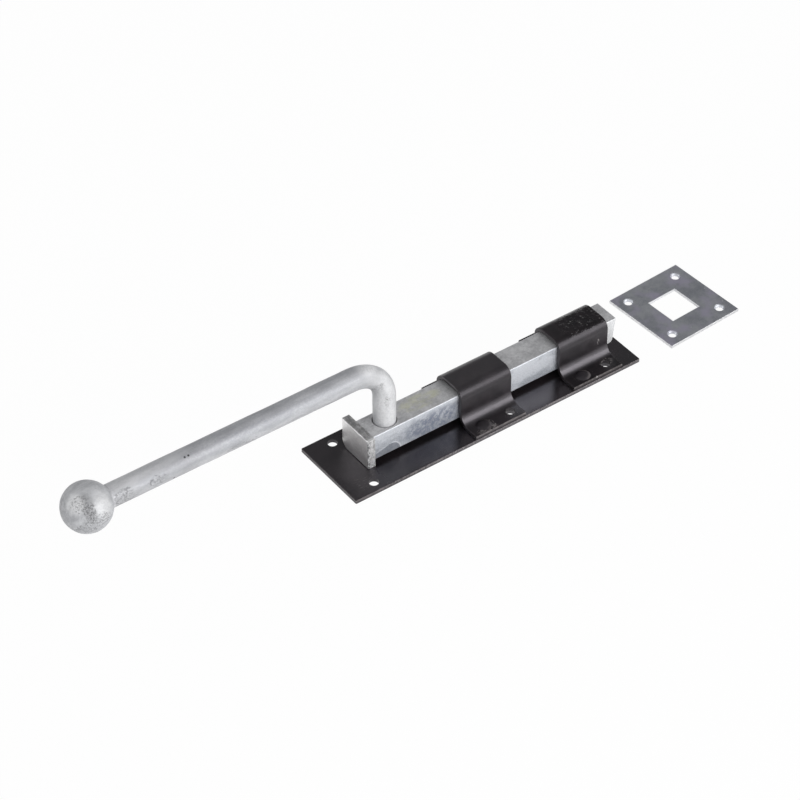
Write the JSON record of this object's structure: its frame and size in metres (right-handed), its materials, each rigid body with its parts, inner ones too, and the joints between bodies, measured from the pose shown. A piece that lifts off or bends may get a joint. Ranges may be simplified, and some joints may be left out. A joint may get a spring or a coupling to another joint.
{
  "type": "monkey tail bolt",
  "caption": "Surface bolt for a door: square bar in two riveted straps on a flat backplate, moved by a long cranked rod handle with a ball knob, and a loose square receiver plate.",
  "frame": {"origin": "centre of the backplate's mounting face", "axes": "+X along the bar towards its nose, +Z out of the door, +Y completes the right-handed frame"},
  "size_m": [0.5, 0.0642, 0.0871],
  "materials": {
    "black_paint": "semi-gloss black paint on pressed steel, thin and chipped in places",
    "painted_rivet": "steel rivet painted over in semi-gloss black",
    "spring_steel": "oiled spring steel",
    "zinc_bar": "satin mottled zinc on rolled square bar",
    "zinc_end_plate": "rough cut plate under satin zinc",
    "zinc_weld": "ground weld under satin zinc",
    "zinc_handle": "mottled satin zinc on forged round rod and ball",
    "zinc_receiver": "smooth blue-grey zinc plate"
  },
  "bodies": {
    "plate": {"backplate": "black_paint", "rear_guide_strap": "black_paint", "front_guide_strap": "black_paint", "rear_strap_rivet_left": "painted_rivet", "rear_strap_rivet_right": "painted_rivet", "front_strap_rivet_left": "painted_rivet", "front_strap_rivet_right": "painted_rivet", "rear_friction_spring": "spring_steel", "front_friction_spring": "spring_steel", "rear_spring_rivet": "painted_rivet", "front_spring_rivet": "painted_rivet", "receiver_plate": "zinc_receiver"},
    "bolt": {"bolt_bar": "zinc_bar", "bar_end_plate": "zinc_end_plate", "end_plate_back_weld": "zinc_weld", "end_plate_under_weld": "zinc_weld", "handle_rod": "zinc_handle", "handle_plug_weld": "zinc_weld", "ball_knob": "zinc_handle", "knob_weld": "zinc_weld"}
  },
  "joints": [
    {"name": "bolt_slide", "type": "slide", "parent": "plate", "child": "bolt", "axis": [1, 0, 0], "range_m": [-0.006, 0.0424]}
  ]
}
